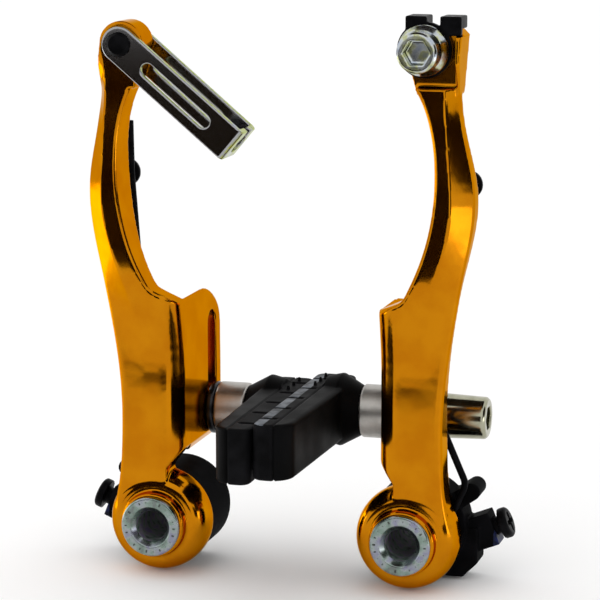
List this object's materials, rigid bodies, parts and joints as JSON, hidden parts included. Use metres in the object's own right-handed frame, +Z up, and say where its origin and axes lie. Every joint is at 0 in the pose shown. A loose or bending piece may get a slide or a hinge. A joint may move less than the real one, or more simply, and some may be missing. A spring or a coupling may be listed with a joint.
{
  "type": "v brake",
  "caption": "Linear-pull rim brake with gold arms on pivot bushes, slotted wings with rubber pads, a folded cable link, a cable anchor bolt and sprung housings.",
  "frame": {"origin": "midway between the two post axes, on the plane where the bushes' back ends meet the fork", "axes": "+X across the wheel towards the cable anchor arm, +Y from the front of the brake to the fork, +Z up"},
  "size_m": [0.1002, 0.055, 0.1272],
  "materials": {
    "gold_anodised": "polished gold anodised",
    "zinc_steel": "zinc plated",
    "black_plastic": "satin moulded",
    "black_steel": "black oxide",
    "pad_rubber": "moulded matte",
    "dark_washer": "dark grey",
    "satin_silver": "satin silver",
    "chrome_plate": "polished",
    "stamped_steel": "dark polished stamping"
  },
  "bodies": {
    "pivots": {"left_pivot_bush": "zinc_steel", "right_pivot_bush": "zinc_steel", "left_spring_housing": "black_plastic", "right_spring_housing": "black_plastic"},
    "left_arm": {"left_arm": "gold_anodised", "left_return_spring": "black_steel", "left_spring_pin": "black_steel", "link_rivet": "black_steel"},
    "left_clamp": {"left_inner_washer": "dark_washer", "left_pad_spacer": "satin_silver", "left_outer_washer": "satin_silver", "left_pad_nut": "chrome_plate"},
    "left_pad": {"left_brake_pad": "pad_rubber", "left_pad_stud": "zinc_steel"},
    "left_adjuster": {"left_adjuster_screw": "black_steel"},
    "right_arm": {"right_arm": "gold_anodised", "right_return_spring": "black_steel", "right_spring_pin": "black_steel", "anchor_plate": "black_steel", "anchor_bolt": "zinc_steel"},
    "right_clamp": {"right_inner_washer": "dark_washer", "right_pad_spacer": "satin_silver", "right_outer_washer": "satin_silver", "right_pad_nut": "chrome_plate"},
    "right_pad": {"right_brake_pad": "pad_rubber", "right_pad_stud": "zinc_steel"},
    "right_adjuster": {"right_adjuster_screw": "black_steel"},
    "link": {"cable_link": "stamped_steel"}
  },
  "joints": [
    {"name": "left_arm_pivot", "type": "hinge", "parent": "pivots", "child": "left_arm", "pos_m": [-0.0288, -0.027, 0], "axis": [0, -1, 0], "range_deg": [0, 25], "stiffness_Nm_per_rad": 0.8},
    {"name": "left_pad_height", "type": "slide", "parent": "left_arm", "child": "left_clamp", "axis": [0, 0, 1], "range_m": [0, 0.0195]},
    {"name": "left_pad_pitch", "type": "hinge", "parent": "left_clamp", "child": "left_pad", "pos_m": [-0.0288, 0.001, 0.022], "axis": [-1, 0, 0], "range_deg": [-20, 20]},
    {"name": "left_adjuster_turn", "type": "hinge", "parent": "pivots", "child": "left_adjuster", "pos_m": [-0.0368, -0.004, -0.0037], "axis": [-0.9272, 0, 0.3746], "range_deg": [-720, 720]},
    {"name": "right_arm_pivot", "type": "hinge", "parent": "pivots", "child": "right_arm", "pos_m": [0.0288, -0.027, 0], "axis": [0, 1, 0], "range_deg": [0, 25], "stiffness_Nm_per_rad": 0.8},
    {"name": "right_pad_height", "type": "slide", "parent": "right_arm", "child": "right_clamp", "axis": [0, 0, 1], "range_m": [-0.0014, 0.0181]},
    {"name": "right_pad_pitch", "type": "hinge", "parent": "right_clamp", "child": "right_pad", "pos_m": [0.0288, 0.001, 0.0234], "axis": [1, 0, 0], "range_deg": [-20, 20]},
    {"name": "right_adjuster_turn", "type": "hinge", "parent": "pivots", "child": "right_adjuster", "pos_m": [0.0368, -0.004, -0.0037], "axis": [0.9272, 0, 0.3746], "range_deg": [-720, 720]},
    {"name": "link_pivot", "type": "hinge", "parent": "left_arm", "child": "link", "pos_m": [-0.0339, -0.027, 0.1083], "axis": [0, -1, 0], "range_deg": [-12, 110]}
  ]
}
